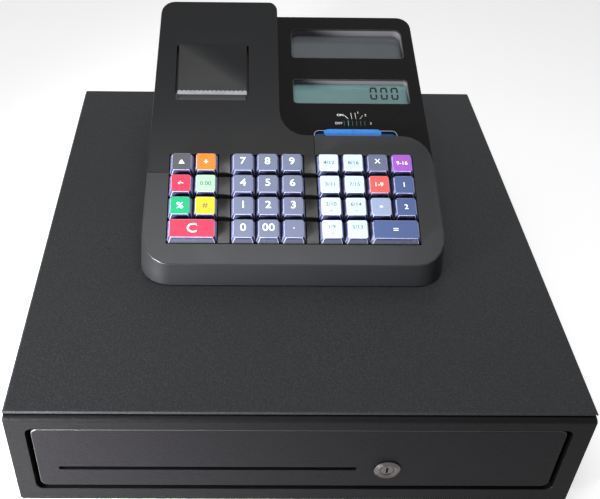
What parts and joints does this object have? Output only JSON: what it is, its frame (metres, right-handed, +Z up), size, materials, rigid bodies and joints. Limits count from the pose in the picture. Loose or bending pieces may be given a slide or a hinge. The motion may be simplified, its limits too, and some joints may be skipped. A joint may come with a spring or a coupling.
{
  "type": "ticket register",
  "caption": "Compact cash register with raised keyboard, display windows and thermal ticket printer, standing on a wide steel cash drawer with lock and media slot.",
  "frame": {"origin": "middle of the drawer cabinet's footprint, on the surface that its feet stand on", "axes": "+Z up, +X to the right of the person at the keys, -Y towards that person"},
  "size_m": [0.41, 0.4219, 0.2341],
  "materials": {
    "bare_steel": "dark zinc-plated steel sheet",
    "black_plastic": "moulded, fine grain",
    "black_steel": "fine textured black powder coat",
    "chrome": "bright plated",
    "gloss_black": "polished black",
    "key_112_116_128": "coloured key label under a clear cap",
    "key_120_130_165": "coloured key label under a clear cap",
    "key_138_148_178": "coloured key label under a clear cap",
    "key_150_162_186": "coloured key label under a clear cap",
    "key_150_80_176": "coloured key label under a clear cap",
    "key_176_208_178": "coloured key label under a clear cap",
    "key_206_228_248": "coloured key label under a clear cap",
    "key_206_84_84": "coloured key label under a clear cap",
    "key_20_158_108": "coloured key label under a clear cap",
    "key_222_70_92": "coloured key label under a clear cap",
    "key_232_196_60": "coloured key label under a clear cap",
    "key_238_130_40": "coloured key label under a clear cap",
    "key_98_128_190": "coloured key label under a clear cap",
    "paper_white": "thermal paper",
    "rubber": "dark, matt",
    "screen_green": "unlit liquid crystal grey green",
    "screen_grey": "unlit display window",
    "slider_blue": "blue, polished",
    "till_plastic": "moulded, satin"
  },
  "bodies": {
    "base": {"cabinet": "black_steel", "cabinet_lid": "black_steel", "upper_case": "black_plastic", "lower_case": "black_plastic", "key_blanks_left": "black_plastic", "key_blanks_right": "black_plastic", "key_guide": "rubber", "fascia": "gloss_black", "upper_panel": "screen_grey", "lcd_panel": "screen_green", "printer_block": "black_plastic", "power_inlet": "black_plastic"},
    "drawer": {"drawer_front": "black_steel", "drawer_body": "bare_steel", "till_tray": "till_plastic", "lock_bezel": "chrome"},
    "lock_plug": {"lock_rotor": "chrome"},
    "cover": {"printer_cover": "black_plastic", "tear_blade": "chrome"},
    "roll": {"paper_roll": "paper_white"},
    "platen": {"platen_roller": "rubber"},
    "mode_switch": {"mode_slider": "slider_blue"},
    "clip_1": {"note_clip_1": "chrome"},
    "clip_2": {"note_clip_2": "chrome"},
    "clip_3": {"note_clip_3": "chrome"},
    "clip_4": {"note_clip_4": "chrome"},
    "button_feed": {"key_feed": "key_112_116_128"},
    "button_refund": {"key_refund": "key_222_70_92"},
    "button_discount": {"key_discount": "key_20_158_108"},
    "button_add": {"key_add": "key_238_130_40"},
    "button_price": {"key_price": "key_176_208_178"},
    "button_code": {"key_code": "key_232_196_60"},
    "button_multiply": {"key_multiply": "key_120_130_165"},
    "button_clerk": {"key_clerk": "key_206_84_84"},
    "button_subtotal": {"key_subtotal": "key_150_162_186"},
    "button_shift": {"key_shift": "key_150_80_176"},
    "button_credit": {"key_credit": "key_98_128_190"},
    "button_card": {"key_card": "key_98_128_190"},
    "button_clear": {"key_clear": "key_222_70_92"},
    "button_cash": {"key_cash": "key_98_128_190"},
    "button_7": {"key_7": "key_138_148_178"},
    "button_8": {"key_8": "key_138_148_178"},
    "button_9": {"key_9": "key_138_148_178"},
    "button_4": {"key_4": "key_138_148_178"},
    "button_5": {"key_5": "key_138_148_178"},
    "button_6": {"key_6": "key_138_148_178"},
    "button_1": {"key_1": "key_138_148_178"},
    "button_2": {"key_2": "key_138_148_178"},
    "button_3": {"key_3": "key_138_148_178"},
    "button_0": {"key_0": "key_138_148_178"},
    "button_00": {"key_00": "key_138_148_178"},
    "button_point": {"key_point": "key_138_148_178"},
    "button_department_1": {"key_department_1": "key_206_228_248"},
    "button_department_2": {"key_department_2": "key_206_228_248"},
    "button_department_3": {"key_department_3": "key_206_228_248"},
    "button_department_4": {"key_department_4": "key_206_228_248"},
    "button_department_5": {"key_department_5": "key_206_228_248"},
    "button_department_6": {"key_department_6": "key_206_228_248"},
    "button_department_7": {"key_department_7": "key_206_228_248"},
    "button_department_8": {"key_department_8": "key_206_228_248"}
  },
  "joints": [
    {"name": "drawer_slide", "type": "slide", "parent": "base", "child": "drawer", "axis": [0, -1, 0], "range_m": [0, 0.27]},
    {"name": "lock_turn", "type": "hinge", "parent": "drawer", "child": "lock_plug", "pos_m": [0.0655, -0.2094, 0.0425], "axis": [0, 1, 0], "range_deg": [0, 90]},
    {"name": "cover_hinge", "type": "hinge", "parent": "base", "child": "cover", "pos_m": [-0.0663, 0.16058, 0.2], "axis": [-1, 0, 0], "range_deg": [0, 75]},
    {"name": "roll_spin", "type": "hinge", "parent": "base", "child": "roll", "pos_m": [-0.0663, 0.10957, 0.149], "axis": [-1, 0, 0], "continuous": true},
    {"name": "platen_spin", "type": "hinge", "parent": "base", "child": "platen", "pos_m": [-0.0663, 0.06357, 0.172], "axis": [-1, 0, 0], "continuous": true},
    {"name": "mode_slide", "type": "slide", "parent": "base", "child": "mode_switch", "axis": [1, 0, 0], "range_m": [-0.0068, 0.0111]},
    {"name": "clip_1_hinge", "type": "hinge", "parent": "drawer", "child": "clip_1", "pos_m": [-0.13245, 0.1341, 0.0625], "axis": [-1, 0, 0], "range_deg": [0, 45], "stiffness_Nm_per_rad": 0.02, "springref_deg": -11.46},
    {"name": "clip_2_hinge", "type": "hinge", "parent": "drawer", "child": "clip_2", "pos_m": [-0.04415, 0.1341, 0.0625], "axis": [-1, 0, 0], "range_deg": [0, 45], "stiffness_Nm_per_rad": 0.02, "springref_deg": -11.46},
    {"name": "clip_3_hinge", "type": "hinge", "parent": "drawer", "child": "clip_3", "pos_m": [0.04415, 0.1341, 0.0625], "axis": [-1, 0, 0], "range_deg": [0, 45], "stiffness_Nm_per_rad": 0.02, "springref_deg": -11.46},
    {"name": "clip_4_hinge", "type": "hinge", "parent": "drawer", "child": "clip_4", "pos_m": [0.13245, 0.1341, 0.0625], "axis": [-1, 0, 0], "range_deg": [0, 45], "stiffness_Nm_per_rad": 0.02, "springref_deg": -11.46},
    {"name": "press_feed", "type": "slide", "parent": "base", "child": "button_feed", "axis": [0, 0.4099, -0.9121], "range_m": [0, 0.003], "stiffness_N_per_m": 200, "springref_m": -0.001},
    {"name": "press_refund", "type": "slide", "parent": "base", "child": "button_refund", "axis": [0, 0.4099, -0.9121], "range_m": [0, 0.003], "stiffness_N_per_m": 200, "springref_m": -0.001},
    {"name": "press_discount", "type": "slide", "parent": "base", "child": "button_discount", "axis": [0, 0.4099, -0.9121], "range_m": [0, 0.003], "stiffness_N_per_m": 200, "springref_m": -0.001},
    {"name": "press_add", "type": "slide", "parent": "base", "child": "button_add", "axis": [0, 0.4099, -0.9121], "range_m": [0, 0.003], "stiffness_N_per_m": 200, "springref_m": -0.001},
    {"name": "press_price", "type": "slide", "parent": "base", "child": "button_price", "axis": [0, 0.4099, -0.9121], "range_m": [0, 0.003], "stiffness_N_per_m": 200, "springref_m": -0.001},
    {"name": "press_code", "type": "slide", "parent": "base", "child": "button_code", "axis": [0, 0.4099, -0.9121], "range_m": [0, 0.003], "stiffness_N_per_m": 200, "springref_m": -0.001},
    {"name": "press_multiply", "type": "slide", "parent": "base", "child": "button_multiply", "axis": [0, 0.4099, -0.9121], "range_m": [0, 0.003], "stiffness_N_per_m": 200, "springref_m": -0.001},
    {"name": "press_clerk", "type": "slide", "parent": "base", "child": "button_clerk", "axis": [0, 0.4099, -0.9121], "range_m": [0, 0.003], "stiffness_N_per_m": 200, "springref_m": -0.001},
    {"name": "press_subtotal", "type": "slide", "parent": "base", "child": "button_subtotal", "axis": [0, 0.4099, -0.9121], "range_m": [0, 0.003], "stiffness_N_per_m": 200, "springref_m": -0.001},
    {"name": "press_shift", "type": "slide", "parent": "base", "child": "button_shift", "axis": [0, 0.4099, -0.9121], "range_m": [0, 0.003], "stiffness_N_per_m": 200, "springref_m": -0.001},
    {"name": "press_credit", "type": "slide", "parent": "base", "child": "button_credit", "axis": [0, 0.4099, -0.9121], "range_m": [0, 0.003], "stiffness_N_per_m": 200, "springref_m": -0.001},
    {"name": "press_card", "type": "slide", "parent": "base", "child": "button_card", "axis": [0, 0.4099, -0.9121], "range_m": [0, 0.003], "stiffness_N_per_m": 200, "springref_m": -0.001},
    {"name": "press_clear", "type": "slide", "parent": "base", "child": "button_clear", "axis": [0, 0.4099, -0.9121], "range_m": [0, 0.003], "stiffness_N_per_m": 200, "springref_m": -0.001},
    {"name": "press_cash", "type": "slide", "parent": "base", "child": "button_cash", "axis": [0, 0.4099, -0.9121], "range_m": [0, 0.003], "stiffness_N_per_m": 200, "springref_m": -0.001},
    {"name": "press_7", "type": "slide", "parent": "base", "child": "button_7", "axis": [0, 0.4099, -0.9121], "range_m": [0, 0.003], "stiffness_N_per_m": 200, "springref_m": -0.001},
    {"name": "press_8", "type": "slide", "parent": "base", "child": "button_8", "axis": [0, 0.4099, -0.9121], "range_m": [0, 0.003], "stiffness_N_per_m": 200, "springref_m": -0.001},
    {"name": "press_9", "type": "slide", "parent": "base", "child": "button_9", "axis": [0, 0.4099, -0.9121], "range_m": [0, 0.003], "stiffness_N_per_m": 200, "springref_m": -0.001},
    {"name": "press_4", "type": "slide", "parent": "base", "child": "button_4", "axis": [0, 0.4099, -0.9121], "range_m": [0, 0.003], "stiffness_N_per_m": 200, "springref_m": -0.001},
    {"name": "press_5", "type": "slide", "parent": "base", "child": "button_5", "axis": [0, 0.4099, -0.9121], "range_m": [0, 0.003], "stiffness_N_per_m": 200, "springref_m": -0.001},
    {"name": "press_6", "type": "slide", "parent": "base", "child": "button_6", "axis": [0, 0.4099, -0.9121], "range_m": [0, 0.003], "stiffness_N_per_m": 200, "springref_m": -0.001},
    {"name": "press_1", "type": "slide", "parent": "base", "child": "button_1", "axis": [0, 0.4099, -0.9121], "range_m": [0, 0.003], "stiffness_N_per_m": 200, "springref_m": -0.001},
    {"name": "press_2", "type": "slide", "parent": "base", "child": "button_2", "axis": [0, 0.4099, -0.9121], "range_m": [0, 0.003], "stiffness_N_per_m": 200, "springref_m": -0.001},
    {"name": "press_3", "type": "slide", "parent": "base", "child": "button_3", "axis": [0, 0.4099, -0.9121], "range_m": [0, 0.003], "stiffness_N_per_m": 200, "springref_m": -0.001},
    {"name": "press_0", "type": "slide", "parent": "base", "child": "button_0", "axis": [0, 0.4099, -0.9121], "range_m": [0, 0.003], "stiffness_N_per_m": 200, "springref_m": -0.001},
    {"name": "press_00", "type": "slide", "parent": "base", "child": "button_00", "axis": [0, 0.4099, -0.9121], "range_m": [0, 0.003], "stiffness_N_per_m": 200, "springref_m": -0.001},
    {"name": "press_point", "type": "slide", "parent": "base", "child": "button_point", "axis": [0, 0.4099, -0.9121], "range_m": [0, 0.003], "stiffness_N_per_m": 200, "springref_m": -0.001},
    {"name": "press_department_1", "type": "slide", "parent": "base", "child": "button_department_1", "axis": [0, 0.4099, -0.9121], "range_m": [0, 0.003], "stiffness_N_per_m": 200, "springref_m": -0.001},
    {"name": "press_department_2", "type": "slide", "parent": "base", "child": "button_department_2", "axis": [0, 0.4099, -0.9121], "range_m": [0, 0.003], "stiffness_N_per_m": 200, "springref_m": -0.001},
    {"name": "press_department_3", "type": "slide", "parent": "base", "child": "button_department_3", "axis": [0, 0.4099, -0.9121], "range_m": [0, 0.003], "stiffness_N_per_m": 200, "springref_m": -0.001},
    {"name": "press_department_4", "type": "slide", "parent": "base", "child": "button_department_4", "axis": [0, 0.4099, -0.9121], "range_m": [0, 0.003], "stiffness_N_per_m": 200, "springref_m": -0.001},
    {"name": "press_department_5", "type": "slide", "parent": "base", "child": "button_department_5", "axis": [0, 0.4099, -0.9121], "range_m": [0, 0.003], "stiffness_N_per_m": 200, "springref_m": -0.001},
    {"name": "press_department_6", "type": "slide", "parent": "base", "child": "button_department_6", "axis": [0, 0.4099, -0.9121], "range_m": [0, 0.003], "stiffness_N_per_m": 200, "springref_m": -0.001},
    {"name": "press_department_7", "type": "slide", "parent": "base", "child": "button_department_7", "axis": [0, 0.4099, -0.9121], "range_m": [0, 0.003], "stiffness_N_per_m": 200, "springref_m": -0.001},
    {"name": "press_department_8", "type": "slide", "parent": "base", "child": "button_department_8", "axis": [0, 0.4099, -0.9121], "range_m": [0, 0.003], "stiffness_N_per_m": 200, "springref_m": -0.001}
  ]
}
